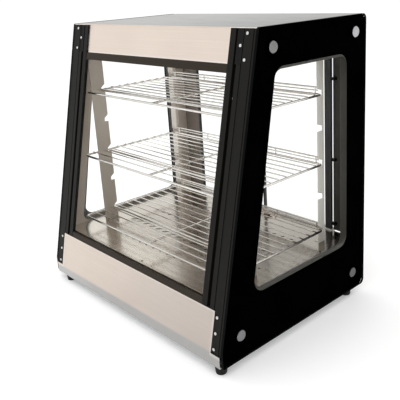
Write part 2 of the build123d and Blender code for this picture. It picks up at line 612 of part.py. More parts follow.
# =============================================================== lamp in the header
LY, LZ = 160.0, 546.0
lamp = cyl_x(8.0, -150.0, 150.0, LY, LZ)
pins = [cyl_x(1.2, -158.0, -149.0, LY - 3, LZ), cyl_x(1.2, -158.0, -149.0, LY + 3, LZ),
        cyl_x(1.2, 149.0, 158.0, LY - 3, LZ), cyl_x(1.2, 149.0, 158.0, LY + 3, LZ)]
node("lamp_tube", lamp + pins)
holders = []
for s in (-1, 1):
    h = box(151.0, 171.0, LY - 9, LY + 9, LZ - 8.0, 559.0)
    for dy in (-3, 3):
        h = h - cyl_x(1.25, 150.0, 159.0, LY + dy, LZ)
    holders.append(h if s > 0 else flip(h))
node("lamp_holders", holders)

# the floor needs a hole for the capillary
fl = Pos(*SHIFT) * floor_hole
NODES["floor_plate"] = [s for p in NODES["floor_plate"] for s in (p - fl).solids()]

# =============================================================== export
for name, sols in NODES.items():
    if len(sols) == 1:
        shape = sols[0]
    else:
        shape = Compound(children=[Solid(s.wrapped) for s in sols])
    export_step(shape, f"parts/{name}.step")

xs, ys, zs = [], [], []
for sols in NODES.values():
    for s in sols:
        b = s.bounding_box()
        xs += [b.min.X, b.max.X]
        ys += [b.min.Y, b.max.Y]
        zs += [b.min.Z, b.max.Z]
print("nodes", len(NODES), "box", [round(v, 2) for v in (min(xs), max(xs), min(ys), max(ys), min(zs), max(zs))])
for name, sols in NODES.items():
    print(name, len(sols), round(sum(s.volume for s in sols) / 1000, 2))
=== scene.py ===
import bpy
import bmesh
import json
import math
import random
from mathutils import Matrix, Vector


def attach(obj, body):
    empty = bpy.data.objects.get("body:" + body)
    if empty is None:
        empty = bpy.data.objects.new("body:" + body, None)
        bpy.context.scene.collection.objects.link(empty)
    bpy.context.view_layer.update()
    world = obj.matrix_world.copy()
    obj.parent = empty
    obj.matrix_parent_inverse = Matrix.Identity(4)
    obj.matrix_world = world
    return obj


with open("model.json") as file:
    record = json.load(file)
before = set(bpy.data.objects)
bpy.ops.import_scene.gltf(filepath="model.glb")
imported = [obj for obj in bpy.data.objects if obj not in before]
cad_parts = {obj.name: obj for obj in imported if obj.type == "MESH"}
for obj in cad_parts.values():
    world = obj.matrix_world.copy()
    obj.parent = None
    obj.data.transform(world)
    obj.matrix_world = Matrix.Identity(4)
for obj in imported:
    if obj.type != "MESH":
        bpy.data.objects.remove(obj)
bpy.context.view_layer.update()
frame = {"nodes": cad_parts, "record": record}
random.seed(11)
nodes = frame["nodes"]
scene = bpy.context.scene

# row frame = drawing frame of the model (y from the glass's front corner, z from its lower edge) + this
DY, DZ = -0.2225, 0.017
SLANT, KNEE, HGT = 0.1262, 0.0339, 0.600
COS = (HGT - KNEE) / math.hypot(HGT - KNEE, SLANT)
TILT = math.atan2(SLANT, HGT - KNEE)


def yf(z, d=0.0):
    """Depth of the slanted front at height z, d behind its face; both in the drawing frame, metres."""
    return SLANT * max(0.0, z - KNEE) / (HGT - KNEE) + d / COS


def row(x, y, z):
    return Vector((x, y + DY, z + DZ))


# ------------------------------------------------------------------ camera
def make_camera():
    yaw, pitch, roll = math.radians(48.17), math.radians(15.82), math.radians(-3.40)
    fwd = Vector((-math.sin(yaw) * math.cos(pitch), math.cos(yaw) * math.cos(pitch), -math.sin(pitch)))
    right = Vector((math.cos(yaw), math.sin(yaw), 0))
    up = right.cross(fwd)
    r2 = math.cos(roll) * right + math.sin(roll) * up
    u2 = -math.sin(roll) * right + math.cos(roll) * up
    cam = bpy.data.objects.new("camera", bpy.data.cameras.new("camera"))
    m = Matrix((r2, u2, -fwd)).transposed().to_4x4()
    m.translation = Vector((1.0065, -0.6176 + DY, 0.6769 + DZ))
    cam.matrix_world = m
    cam.data.sensor_width = 36.0
    cam.data.lens = 53.93
    cam.data.shift_x = -0.0375
    cam.data.shift_y = -0.12
    cam.data.clip_start, cam.data.clip_end = 0.01, 50
    cam.data.dof.use_dof = False
    scene.collection.objects.link(cam)
    scene.camera = cam


make_camera()
scene.view_settings.view_transform = "Standard"


# ------------------------------------------------------------------ material tools
class Tree:
    """Small helper that adds and links shader nodes."""

    def __init__(self, name):
        self.mat = bpy.data.materials.new(name)
        self.mat.use_nodes = True
        self.nt = self.mat.node_tree
        self.nt.nodes.clear()
        self.out = self.add("ShaderNodeOutputMaterial")
        self.coord = self.add("ShaderNodeTexCoord")

    def add(self, kind, **props):
        n = self.nt.nodes.new(kind)
        for k, v in props.items():
            setattr(n, k, v)
        return n

    def link(self, a, b):
        self.nt.links.new(a, b)

    def mapping(self, scale, rot=(0, 0, 0), loc=(0, 0, 0)):
        m = self.add("ShaderNodeMapping")
        m.inputs["Scale"].default_value = scale
        m.inputs["Rotation"].default_value = rot
        m.inputs["Location"].default_value = loc
        self.link(self.coord.outputs["Object"], m.inputs["Vector"])
        return m.outputs[0]

    def noise(self, vector, scale=1.0, detail=2.0, rough=0.5, distortion=0.0):
        n = self.add("ShaderNodeTexNoise")
        n.inputs["Scale"].default_value = scale
        n.inputs["Detail"].default_value = detail
        n.inputs["Roughness"].default_value = rough
        n.inputs["Distortion"].default_value = distortion
        self.link(vector, n.inputs["Vector"])
        return n.outputs["Fac"]

    def span(self, value, lo, hi, out_lo, out_hi):
        n = self.add("ShaderNodeMapRange")
        n.inputs["From Min"].default_value = lo
        n.inputs["From Max"].default_value = hi
        n.inputs["To Min"].default_value = out_lo
        n.inputs["To Max"].default_value = out_hi
        self.link(value, n.inputs["Value"])
        return n.outputs[0]

    def math(self, op, a, b=None, c=None):
        n = self.add("ShaderNodeMath", operation=op)
        for i, v in enumerate((a, b, c)):
            if v is None:
                continue
            if isinstance(v, (int, float)):
                n.inputs[i].default_value = v
            else:
                self.link(v, n.inputs[i])
        return n.outputs[0]

    def mix(self, fac, a, b):
        n = self.add("ShaderNodeMix", data_type="RGBA")
        for sock, v in ((n.inputs["Factor"], fac), (n.inputs[6], a), (n.inputs[7], b)):
            if isinstance(v, (int, float)):
                sock.default_value = v
            elif isinstance(v, (tuple, list)):
                sock.default_value = tuple(v) + ((1.0,) if len(v) == 3 else ())
            else:
                self.link(v, sock)
        return n.outputs[2]

    def mix_value(self, fac, a, b):
        n = self.add("ShaderNodeMix", data_type="FLOAT")
        for sock, v in ((n.inputs[0], fac), (n.inputs[2], a), (n.inputs[3], b)):
            if isinstance(v, (int, float)):
                sock.default_value = v
            else:
                self.link(v, sock)
        return n.outputs[0]

    def bump(self, height, strength=0.3, distance=0.0005, normal=None):
        n = self.add("ShaderNodeBump")
        n.inputs["Strength"].default_value = strength
        n.inputs["Distance"].default_value = distance
        self.link(height, n.inputs["Height"])
        if normal is not None:
            self.link(normal, n.inputs["Normal"])
        return n.outputs[0]

    def principled(self, **values):
        p = self.add("ShaderNodeBsdfPrincipled")
        for k, v in values.items():
            sock = p.inputs[k.replace("_", " ")]
            if isinstance(v, (int, float)):
                sock.default_value = v
            elif isinstance(v, (tuple, list)):
                sock.default_value = tuple(v) + ((1.0,) if len(v) == 3 else ())
            else:
                self.link(v, sock)
        return p

    def surface(self, socket):
        self.link(socket, self.out.inputs["Surface"])
        return self.mat

    def xyz(self):
        s = self.add("ShaderNodeSeparateXYZ")
        self.link(self.coord.outputs["Object"], s.inputs[0])
        return s.outputs

    def normal_xyz(self):
        s = self.add("ShaderNodeSeparateXYZ")
        self.link(self.coord.outputs["Normal"], s.inputs[0])
        return s.outputs


def shade(c, k):
    return tuple(v * k for v in c)


def brushed(name, color, rough=0.3, scale=(3.0, 900.0, 900.0), grain=0.12, bump=0.12, aniso=0.0, smudge=0.12, metal=1.0):
    """Brushed or satin sheet metal: fine drawn grain, cloudy handling marks and slightly uneven gloss."""
    t = Tree(name)
    g = t.noise(t.mapping(scale), 1.0, 3.0, 0.65)
    cloud = t.noise(t.mapping((7.0, 7.0, 7.0)), 1.0, 4.0, 0.55, 0.4)
    wipe = t.noise(t.mapping((22.0, 60.0, 34.0)), 1.0, 3.0, 0.6, 1.2)
    tone = t.mix(t.span(g, 0.3, 0.7, 0.0, 1.0), shade(color, 1.0 - grain), shade(color, 1.0 + grain * 0.35))
    tone = t.mix(t.span(cloud, 0.35, 0.7, 0.0, 0.35), tone, shade(color, 0.9))
    r = t.math("ADD", t.span(g, 0.25, 0.75, rough - 0.035, rough + 0.045), t.span(wipe, 0.4, 0.75, 0.0, smudge))
    p = t.principled(Base_Color=tone, Metallic=metal, Roughness=r)
    if aniso:
        p.inputs["Anisotropic"].default_value = aniso
    t.link(t.bump(g, bump, 0.00005), p.inputs["Normal"])
    return t.surface(p.outputs[0])


def satin_plastic(name, color, rough=0.42, grain=900.0, bump=0.12, coat=0.0, spec=0.5):
    """Moulded plastic with a fine spark-eroded grain, dust in the low places and uneven sheen."""
    t = Tree(name)
    fine = t.noise(t.mapping((grain, grain, grain)), 1.0, 2.0, 0.6)
    broad = t.noise(t.mapping((18.0, 18.0, 18.0)), 1.0, 4.0, 0.6, 0.3)
    tone = t.mix(t.span(broad, 0.35, 0.7, 0.0, 1.0), color, tuple(min(1.0, v * 1.25 + 0.004) for v in color))
    r = t.span(broad, 0.3, 0.7, rough - 0.05, rough + 0.08)
    p = t.principled(Base_Color=tone, Roughness=r, Specular_IOR_Level=spec)
    if coat:
        p.inputs["Coat Weight"].default_value = coat
        p.inputs["Coat Roughness"].default_value = 0.06
    t.link(t.bump(fine, bump, 0.00006), p.inputs["Normal"])
    return t.surface(p.outputs[0])


def anodised(name, color, rough=0.34, axis="z", metal=0.5):
    """Anodised extrusion: fine die lines along its length under a dark satin skin."""
    t = Tree(name)
    scale = {"z": (1500.0, 1500.0, 4.0), "x": (4.0, 1500.0, 1500.0)}[axis]
    die = t.noise(t.mapping(scale), 1.0, 2.0, 0.5)
    cloud = t.noise(t.mapping((9.0, 9.0, 5.0)), 1.0, 4.0, 0.6, 0.5)
    tone = t.mix(t.span(die, 0.3, 0.7, 0.0, 1.0), shade(color, 0.85), shade(color, 1.18))
    tone = t.mix(t.span(cloud, 0.4, 0.75, 0.0, 0.3), tone, shade(color, 1.35))
    r = t.math("ADD", t.span(die, 0.3, 0.7, rough - 0.03, rough + 0.03), t.span(cloud, 0.4, 0.8, 0.0, 0.08))
    p = t.principled(Base_Color=tone, Metallic=metal, Roughness=r, Specular_IOR_Level=0.10)
    t.link(t.bump(die, 0.15, 0.00004), p.inputs["Normal"])
    return t.surface(p.outputs[0])


def pane(name, tint, base=0.004, graze=0.3, start=0.45):
    """Clear float glass: light passes straight through, the surface mirrors more and more towards grazing angles, and the ground rim shows its body colour."""
    t = Tree(name)
    see = t.add("ShaderNodeBsdfTransparent")
    see.inputs["Color"].default_value = tuple(tint) + (1.0,)
    shine = t.add("ShaderNodeBsdfGlossy")
    shine.inputs["Color"].default_value = (1, 1, 1, 1)
    film = t.noise(t.mapping((9.0, 9.0, 9.0)), 1.0, 5.0, 0.6, 0.8)
    t.link(t.span(film, 0.4, 0.8, 0.0, 0.012), shine.inputs["Roughness"])
    lw = t.add("ShaderNodeLayerWeight")
    lw.inputs["Blend"].default_value = 0.5
    f = t.math("POWER", t.span(lw.outputs["Facing"], start, 1.0, 0.0, 1.0), 1.6)
    f = t.math("MULTIPLY_ADD", f, graze, base)
    m = t.add("ShaderNodeMixShader")
    t.link(f, m.inputs[0])
    t.link(see.outputs[0], m.inputs[1])
    t.link(shine.outputs[0], m.inputs[2])
    return t, m


def clear_glass(name, tint=(0.99, 0.992, 0.99), rim=(0.02, 0.05, 0.045), flat_axis=0, base=0.004, graze=0.3, start=0.45, limit=0.7):
    t, m = pane(name, tint, base, graze, start)
    n = t.normal_xyz()
    side = t.math("LESS_THAN", t.math("ABSOLUTE", n[flat_axis]), limit)
    if flat_axis == 0:
        # the ground arris beyond the print is as dark as the rim
        q = t.xyz()
        side = t.math("MAXIMUM", side, t.math("LESS_THAN", q[2], 0.0006 + DZ))
        side = t.math("MAXIMUM", side, t.math("GREATER_THAN", q[2], 0.5994 + DZ))
        side = t.math("MAXIMUM", side, t.math("GREATER_THAN", q[1], 0.4404 + DY))
        lean = t.math("MULTIPLY", t.math("MAXIMUM", t.math("SUBTRACT", q[2], 0.0339 + DZ), 0.0), 0.1262 / 0.5661)
        side = t.math("MAXIMUM", side, t.math("LESS_THAN", t.math("SUBTRACT", q[1], lean), 0.0008 + DY))
    edge = t.principled(Base_Color=rim, Roughness=0.4, Specular_IOR_Level=0.02)
    grind = t.noise(t.mapping((700.0, 700.0, 700.0)), 1.0, 2.0)
    t.link(t.bump(grind, 0.2, 0.0001), edge.inputs["Normal"])
    mm = t.add("ShaderNodeMixShader")
    t.link(side, mm.inputs[0])
    t.link(m.outputs[0], mm.inputs[1])
    t.link(edge.outputs[0], mm.inputs[2])
    return t.surface(mm.outputs[0])


def slanted_glass(name, tint=(0.99, 0.992, 0.99)):
    t, m = pane(name, tint)
    return t.surface(m.outputs[0])


def cover_sheet(name, front, roof, lip):
    """Satin stainless of the outer panels, the slanted sheets brushed along their length. It is one sheet tinted by
    which way each face looks: the slanted sheets warmer and lighter, the flat roof and the upright lip duller, as
    painted light and shade.
    """
    t = Tree(name)
    n = t.normal_xyz()
    up = t.span(n[2], 0.5, 0.8, 0.0, 1.0)
    low = t.math("LESS_THAN", t.math("ABSOLUTE", n[2]), 0.10)
    facing = t.math("LESS_THAN", n[1], -0.9)
    low = t.math("MULTIPLY", low, facing)
    low = t.math("MULTIPLY", low, t.span(t.xyz()[2], 0.0165 + DZ, 0.0195 + DZ, 1.0, 0.0))
    g = t.noise(t.mapping((4.0, 900.0, 900.0)), 1.0, 3.0, 0.65)
    cloud = t.noise(t.mapping((5.0, 7.0, 9.0)), 1.0, 4.0, 0.55, 0.4)
    wipe = t.noise(t.mapping((9.0, 40.0, 30.0)), 1.0, 3.0, 0.6, 1.2)
    x = t.xyz()[0]
    z = t.xyz()[2]
    # painted shade: the roof is painted darker to the right, and the lower sheet is painted darker than the header and
    # darker again towards the right
    roof_shade_tone = t.mix(t.span(x, -0.08, 0.29, 0.0, 1.0), shade(roof, 0.90), shade(roof, 0.62))
    low_sheet_shade_tone = t.mix(t.span(x, -0.24, 0.25, 0.0, 1.0), shade(front, 0.86), (0.555, 0.495, 0.452))
    front_tone = t.mix(t.math("LESS_THAN", z, 0.3), front, low_sheet_shade_tone)
    # painted light and shade: faces looking up take the roof tone, the others the warmer front tone
    c = t.mix(up, front_tone, roof_shade_tone)
    # painted reflection of the shaded floor: the lip is painted darker, lighter towards the left, and this tone fades
    # into the foot of the slanted sheet, further up towards the right
    climb = t.math("SUBTRACT", z, t.math("MULTIPLY", x, 0.012))
    toe_reflection = t.math("MULTIPLY", facing, t.span(climb, 0.0195 + DZ, 0.0255 + DZ, 1.0, 0.0))
    lip_reflection_tone = t.mix(t.span(x, -0.28, -0.05, 0.0, 1.0), shade(lip, 1.14), shade(lip, 0.97))
    c = t.mix(t.math("MAXIMUM", low, toe_reflection), c, lip_reflection_tone)
    # painted shade: the sheets are painted duller and darker towards the right
    right_shade = t.span(x, -0.05, 0.31, 0.0, 0.12)
    c = t.mix(right_shade, c, t.mix(0.5, c, (0.30, 0.28, 0.265)))
    # painted highlight: the folded edges of the slanted sheets catch the light, painted as lighter bands along the
    # sides and along the edges beside the rails
    ax = t.math("ABSOLUTE", x)
    high = t.math("GREATER_THAN", z, 0.3)
    edge_x = t.mix_value(high, 0.2734, 0.2368)
    side = t.span(t.math("SUBTRACT", edge_x, ax), 0.0015, 0.0045, 1.0, 0.0)
    seam_z = t.mix_value(high, 0.1026 + DZ, 0.5364 + DZ)
    seam = t.span(t.math("ABSOLUTE", t.math("SUBTRACT", z, seam_z)), 0.0012, 0.0038, 1.0, 0.0)
    fold = t.math("MULTIPLY", t.math("MAXIMUM", side, seam), t.math("SUBTRACT", 1.0, up))
    fold = t.math("MULTIPLY", fold, t.math("SUBTRACT", 1.0, low))
    c = t.mix(t.math("MULTIPLY", fold, t.mix_value(high, 0.3, 0.65)), c, (0.93, 0.88, 0.82))
    # painted highlight: a light band along the side edges of the roof
    brim_highlight = t.math("MULTIPLY", t.span(t.math("SUBTRACT", 0.2985, ax), 0.0008, 0.0038, 1.0, 0.0), up)
    c = t.mix(t.math("MULTIPLY", brim_highlight, 0.7), c, (0.88, 0.87, 0.85))
    dark = t.add("ShaderNodeMix", data_type="RGBA", blend_type="MULTIPLY")
    dark.inputs["Factor"].default_value = 1.0
    t.link(c, dark.inputs[6])
    t.link(t.mix(t.span(g, 0.3, 0.7, 0.0, 1.0), (0.93, 0.93, 0.93), (1.02, 1.02, 1.02)), dark.inputs[7])
    tone = t.mix(t.span(cloud, 0.35, 0.7, 0.0, 0.5), dark.outputs[2], t.mix(0.9, (0, 0, 0), dark.outputs[2]))
    r = t.math("ADD", t.span(g, 0.25, 0.75, 0.30, 0.38), t.span(wipe, 0.45, 0.8, 0.0, 0.1))
    p = t.principled(Base_Color=tone, Metallic=1.0, Roughness=r)
    t.link(t.bump(g, 0.12, 0.00005), p.inputs["Normal"])
    return t.surface(p.outputs[0])


def chrome(name, color=(0.80, 0.78, 0.75), rough=0.09):
    t = Tree(name)
    fine = t.noise(t.mapping((60.0, 60.0, 60.0)), 1.0, 3.0, 0.6, 0.5)
    tone = t.mix(t.span(fine, 0.35, 0.7, 0.0, 1.0), color, shade(color, 0.88))
    p = t.principled(Base_Color=tone, Metallic=1.0, Roughness=t.span(fine, 0.3, 0.75, rough - 0.02, rough + 0.09))
    return t.surface(p.outputs[0])


def rubber(name, color=(0.018, 0.018, 0.018)):
    t = Tree(name)
    fine = t.noise(t.mapping((1200.0, 1200.0, 1200.0)), 1.0, 3.0, 0.7)
    dust = t.noise(t.mapping((70.0, 70.0, 70.0)), 1.0, 4.0, 0.6)
    tone = t.mix(t.span(dust, 0.5, 0.8, 0.0, 0.4), color, (0.05, 0.048, 0.045))
    p = t.principled(Base_Color=tone, Roughness=t.span(dust, 0.3, 0.7, 0.55, 0.75), Specular_IOR_Level=0.2)
    t.link(t.bump(fine, 0.3, 0.0001), p.inputs["Normal"])
    return t.surface(p.outputs[0])


def black_print(name):
    """Ceramic ink printed on the back of the glass: deep black, faintly uneven, glossy where it meets the glass."""
    t = Tree(name)
    cloud = t.noise(t.mapping((14.0, 14.0, 14.0)), 1.0, 4.0, 0.6)
    tone = t.mix(t.span(cloud, 0.35, 0.7, 0.0, 1.0), (0.0003, 0.0003, 0.0004), (0.0009, 0.0009, 0.0010))
    p = t.principled(Base_Color=tone, Roughness=t.span(cloud, 0.3, 0.7, 0.35, 0.45), Specular_IOR_Level=0.0)
    return t.surface(p.outputs[0])


def cap_mirror(name):
    """Polished caps with a painted reflection: the lower ones are painted darker, as if mirroring a darker part of the
    room, and the upper rear one the lightest.
    """
    t = Tree(name)
    fine = t.noise(t.mapping((60.0, 60.0, 60.0)), 1.0, 3.0, 0.6, 0.5)
    z = t.xyz()[2]
    level = t.span(z, 0.10, 0.50, 0.0, 1.0)
    y = t.xyz()[1]
    # painted reflection: darker towards the rear on the lower caps, lighter towards the rear on the upper ones
    lower = t.mix(t.span(y, -0.17, 0.17, 0.0, 1.0), (0.225, 0.225, 0.23), (0.108, 0.108, 0.112))
    upper = t.mix(t.span(y, -0.06, 0.17, 0.0, 1.0), (0.215, 0.215, 0.21), (0.44, 0.44, 0.45))
    c = t.mix(level, lower, upper)
    c = t.mix(t.span(fine, 0.35, 0.7, 0.0, 1.0), c, t.mix(0.86, (0, 0, 0), c))
    p = t.principled(Base_Color=c, Metallic=1.0, Roughness=t.span(fine, 0.3, 0.75, 0.04, 0.15))
    return t.surface(p.outputs[0])


def bright_floor(name, color):
    """Polished floor plate, clouded by wiping, with painted light: lighter towards the left and darker to the right,
    and a painted highlight along the front, strongest on the left.
    """
    t = Tree(name)
    g = t.noise(t.mapping((4.0, 600.0, 600.0)), 1.0, 3.0, 0.65)
    wipe = t.noise(t.mapping((22.0, 60.0, 34.0)), 1.0, 3.0, 0.6, 1.2)
    x = t.xyz()[0]
    # painted light: lighter on the left, darker on the right, and a painted highlight along the front that is strongest
    # on the left
    c = t.mix(t.span(x, -0.22, 0.0, 0.0, 1.0), shade(color, 1.42), shade(color, 1.16))
    c = t.mix(t.span(x, 0.0, 0.20, 0.0, 1.0), c, shade(color, 0.84))
    c = t.mix(t.math("MULTIPLY", t.span(t.xyz()[1], -0.20, -0.02, 1.0, 0.0), t.span(x, 0.0, 0.20, 0.8, 0.2)), c, shade(color, 1.95))
    dark = t.add("ShaderNodeMix", data_type="RGBA", blend_type="MULTIPLY")
    dark.inputs["Factor"].default_value = 1.0
    t.link(c, dark.inputs[6])
    t.link(t.mix(t.span(g, 0.3, 0.7, 0.0, 1.0), (0.94, 0.94, 0.94), (1.02, 1.02, 1.02)), dark.inputs[7])
    r = t.math("ADD", t.span(g, 0.25, 0.75, 0.15, 0.21), t.span(wipe, 0.4, 0.75, 0.0, 0.06))
    p = t.principled(Base_Color=dark.outputs[2], Metallic=1.0, Roughness=r)
    t.link(t.bump(g, 0.01, 0.00005), p.inputs["Normal"])
    return t.surface(p.outputs[0])


M = {}
M["side_glass"] = clear_glass("side_glass", rim=(0.0022, 0.0026, 0.0025), flat_axis=0, base=0.0, graze=0.35, start=0.6)
M["door_glass"] = clear_glass("door_glass", flat_axis=1)
M["front_glass"] = slanted_glass("front_glass")
M["black_print"] = black_print("black_print")
M["dark_frame"] = satin_plastic("dark_frame", (0.050, 0.0475, 0.0415), rough=0.45, spec=0.15)
M["post_dark"] = anodised("post_dark", (0.0070, 0.0066, 0.0056), metal=0.0, rough=0.45)
M["rail_dark"] = anodised("rail_dark", (0.026, 0.019, 0.013), axis="x", metal=0.0, rough=0.42)
M["stainless"] = brushed("stainless", (0.47, 0.415, 0.355), rough=0.36, scale=(900.0, 900.0, 5.0), metal=0.55)
M["stainless_bright"] = cover_sheet("stainless_bright", (0.80, 0.695, 0.61), (0.42, 0.415, 0.40), (0.44, 0.435, 0.425))
M["floor_steel"] = bright_floor("floor_steel", (0.43, 0.395, 0.35))
M["mirror_steel"] = cap_mirror("mirror_steel")
M["chrome_wire"] = chrome("chrome_wire", (0.82, 0.79, 0.75), rough=0.12)
M["zinc"] = brushed("zinc", (0.60, 0.60, 0.62), rough=0.32, scale=(500.0, 500.0, 500.0))
M["black_plastic"] = satin_plastic("black_plastic", (0.012, 0.012, 0.013))
M["black_gloss"] = satin_plastic("black_gloss", (0.010, 0.010, 0.011), rough=0.18, bump=0.03)
M["rubber"] = rubber("rubber", (0.0045, 0.0042, 0.004))
M["white_plastic"] = satin_plastic("white_plastic", (0.62, 0.61, 0.57), rough=0.45)
M["galvanised"] = brushed("galvanised", (0.50, 0.51, 0.53), rough=0.42, scale=(60.0, 60.0, 60.0), grain=0.25)
M["heater_sheath"] = brushed("heater_sheath", (0.26, 0.23, 0.20), rough=0.45, scale=(300.0, 300.0, 300.0))
M["wire_sleeve"] = satin_plastic("wire_sleeve", (0.30, 0.06, 0.035), rough=0.5)
M["copper_tube"] = brushed("copper_tube", (0.72, 0.40, 0.25), rough=0.3, scale=(300.0, 300.0, 300.0))


def frosted_lamp(name):
    t = Tree(name)
    dust = t.noise(t.mapping((25.0, 25.0, 25.0)), 1.0, 3.0, 0.6)
    tone = t.mix(t.span(dust, 0.35, 0.7, 0.0, 1.0), (0.86, 0.85, 0.82), (0.78, 0.77, 0.73))
    p = t.principled(Base_Color=tone, Roughness=0.18)
    return t.surface(p.outputs[0])


def amber(name):
    t = Tree(name)
    dust = t.noise(t.mapping((220.0, 220.0, 220.0)), 1.0, 3.0, 0.6)
    tone = t.mix(t.span(dust, 0.35, 0.7, 0.0, 1.0), (0.75, 0.20, 0.02), (0.55, 0.13, 0.015))
    p = t.principled(Base_Color=tone, Roughness=0.12)
    return t.surface(p.outputs[0])


def lined_sheet(name, color, metal, rough, y0=None, y1=None, fold_highlight_colour=(0.8, 0.76, 0.7), amount=0.6):
    """Stainless strip drawn lengthwise, with a painted highlight where its front fold catches the light, along one edge
    between y0 and y1 (row frame).
    """
    t = Tree(name)
    g = t.noise(t.mapping((900.0, 900.0, 5.0)), 1.0, 3.0, 0.65)
    cloud = t.noise(t.mapping((6.0, 9.0, 7.0)), 1.0, 4.0, 0.55, 0.4)
    c = t.mix(t.span(g, 0.3, 0.7, 0.0, 1.0), shade(color, 0.9), shade(color, 1.04))
    c = t.mix(t.span(cloud, 0.35, 0.7, 0.0, 0.4), c, shade(color, 0.88))
    if y0 is not None:
        y = t.xyz()[1]
        # painted highlight along the front fold
        a = t.span(y, y0, y1, 1.0, 0.0)
        c = t.mix(t.math("MULTIPLY", a, amount), c, fold_highlight_colour)
    r = t.math("ADD", t.span(g, 0.25, 0.75, rough - 0.04, rough + 0.04), t.span(cloud, 0.4, 0.8, 0.0, 0.08))
    p = t.principled(Base_Color=c, Metallic=metal, Roughness=r)
    t.link(t.bump(g, 0.1, 0.00005), p.inputs["Normal"])
    return t.surface(p.outputs[0])


def cut_liner(name, color, lit):
    """Stainless lining drawn upwards; its cut edges around the window are dark, and on the lit side its rear strip is
    painted lighter as a painted highlight.
    """
    t = Tree(name)
    g = t.noise(t.mapping((900.0, 900.0, 5.0)), 1.0, 3.0, 0.65)
    cloud = t.noise(t.mapping((6.0, 9.0, 7.0)), 1.0, 4.0, 0.55, 0.4)
    c = t.mix(t.span(g, 0.3, 0.7, 0.0, 1.0), shade(color, 0.88), shade(color, 1.04))
    c = t.mix(t.span(cloud, 0.35, 0.7, 0.0, 0.35), c, shade(color, 0.9))
    metal = 0.55
    if lit:
        # painted highlight: the rear strip is lighter and less metallic on the lit side
        rear = t.span(t.xyz()[1], 0.150, 0.158, 0.0, 1.0)
        c = t.mix(t.math("MULTIPLY", rear, 0.8), c, (0.74, 0.66, 0.58))
        metal = t.span(rear, 0.0, 1.0, 0.55, 0.30)
    cut = t.math("LESS_THAN", t.math("ABSOLUTE", t.normal_xyz()[0]), 0.7)
    c = t.mix(cut, c, (0.055, 0.050, 0.044))
    metal = t.math("MULTIPLY", t.math("SUBTRACT", 1.0, cut), metal)
    r = t.math("ADD", t.span(g, 0.25, 0.75, 0.33, 0.41), t.span(cloud, 0.4, 0.8, 0.0, 0.08))
    p = t.principled(Base_Color=c, Metallic=metal, Roughness=r)
    t.link(t.bump(g, 0.1, 0.00005), p.inputs["Normal"])
    return t.surface(p.outputs[0])


def two_sided_post(name, lit_colour, outer):
    """Rear post with dark outer faces; its front-facing face is painted a lighter bronze brown as painted light."""
    t = Tree(name)
    g = t.noise(t.mapping((900.0, 900.0, 5.0)), 1.0, 3.0, 0.65)
    cloud = t.noise(t.mapping((6.0, 9.0, 7.0)), 1.0, 4.0, 0.55, 0.4)
    # painted light: faces looking to the front take the lighter colour
    front = t.math("LESS_THAN", t.normal_xyz()[1], -0.5)
    c = t.mix(front, outer, lit_colour)
    c = t.mix(t.span(g, 0.3, 0.7, 0.0, 0.2), c, t.mix(0.85, (0, 0, 0), c))
    r = t.math("ADD", t.span(g, 0.25, 0.75, 0.44, 0.52), t.span(cloud, 0.4, 0.8, 0.0, 0.08))
    p = t.principled(Base_Color=c, Roughness=r, Specular_IOR_Level=0.2)
    t.link(t.bump(g, 0.1, 0.00005), p.inputs["Normal"])
    return t.surface(p.outputs[0])


def sill_frame(name, color, sill):
    """Dark frame plastic whose upward-facing sill is painted lighter as painted light."""
    t = Tree(name)
    fine = t.noise(t.mapping((900.0, 900.0, 900.0)), 1.0, 2.0, 0.6)
    broad = t.noise(t.mapping((18.0, 18.0, 18.0)), 1.0, 4.0, 0.6, 0.3)
    # painted light: faces looking up are lighter
    up = t.span(t.normal_xyz()[2], 0.25, 0.7, 0.0, 1.0)
    c = t.mix(up, color, sill)
    c = t.mix(t.span(broad, 0.35, 0.7, 0.0, 0.6), c, t.mix(0.85, (0, 0, 0), c))
    p = t.principled(Base_Color=c, Roughness=t.span(broad, 0.3, 0.7, 0.40, 0.52), Specular_IOR_Level=0.15)
    t.link(t.bump(fine, 0.12, 0.00006), p.inputs["Normal"])
    return t.surface(p.outputs[0])


def tray(name):
    """Galvanised tray: spangled outside, with every upward-facing face dark and not metallic."""
    t = Tree(name)
    g = t.noise(t.mapping((60.0, 60.0, 60.0)), 1.0, 3.0, 0.65)
    dust = t.noise(t.mapping((14.0, 14.0, 14.0)), 1.0, 4.0, 0.6, 0.4)
    up = t.math("GREATER_THAN", t.normal_xyz()[2], 0.5)
    c = t.mix(t.span(g, 0.3, 0.7, 0.0, 1.0), (0.375, 0.383, 0.398), (0.535, 0.545, 0.565))
    dark_up_faces = t.mix(t.span(dust, 0.35, 0.7, 0.0, 1.0), (0.018, 0.017, 0.016), (0.032, 0.030, 0.028))
    c = t.mix(up, c, dark_up_faces)
    p = t.principled(Base_Color=c, Metallic=t.math("SUBTRACT", 1.0, up), Roughness=t.span(g, 0.3, 0.7, 0.38, 0.52), Specular_IOR_Level=0.15)
    return t.surface(p.outputs[0])


def low_rack(name):
    """Bright plated wire with a painted reflection of the dark side: darker towards the right and dark on its right
    end.
    """
    t = Tree(name)
    fine = t.noise(t.mapping((60.0, 60.0, 60.0)), 1.0, 3.0, 0.6, 0.5)
    x = t.xyz()[0]
    # painted reflection: darker towards the right, and dark on the right end
    c = t.mix(t.span(x, -0.02, 0.14, 0.0, 1.0), (0.80, 0.77, 0.73), (0.62, 0.585, 0.54))
    end = t.math("MULTIPLY", t.span(x, 0.238, 0.244, 0.0, 1.0), t.span(t.xyz()[1], -0.03, 0.06, 0.0, 1.0))
    c = t.mix(end, c, (0.12, 0.11, 0.10))
    tone = t.mix(t.span(fine, 0.35, 0.7, 0.0, 1.0), c, t.mix(0.88, (0, 0, 0), c))
    p = t.principled(Base_Color=tone, Metallic=1.0, Roughness=t.span(fine, 0.3, 0.75, 0.12, 0.24))
    return t.surface(p.outputs[0])


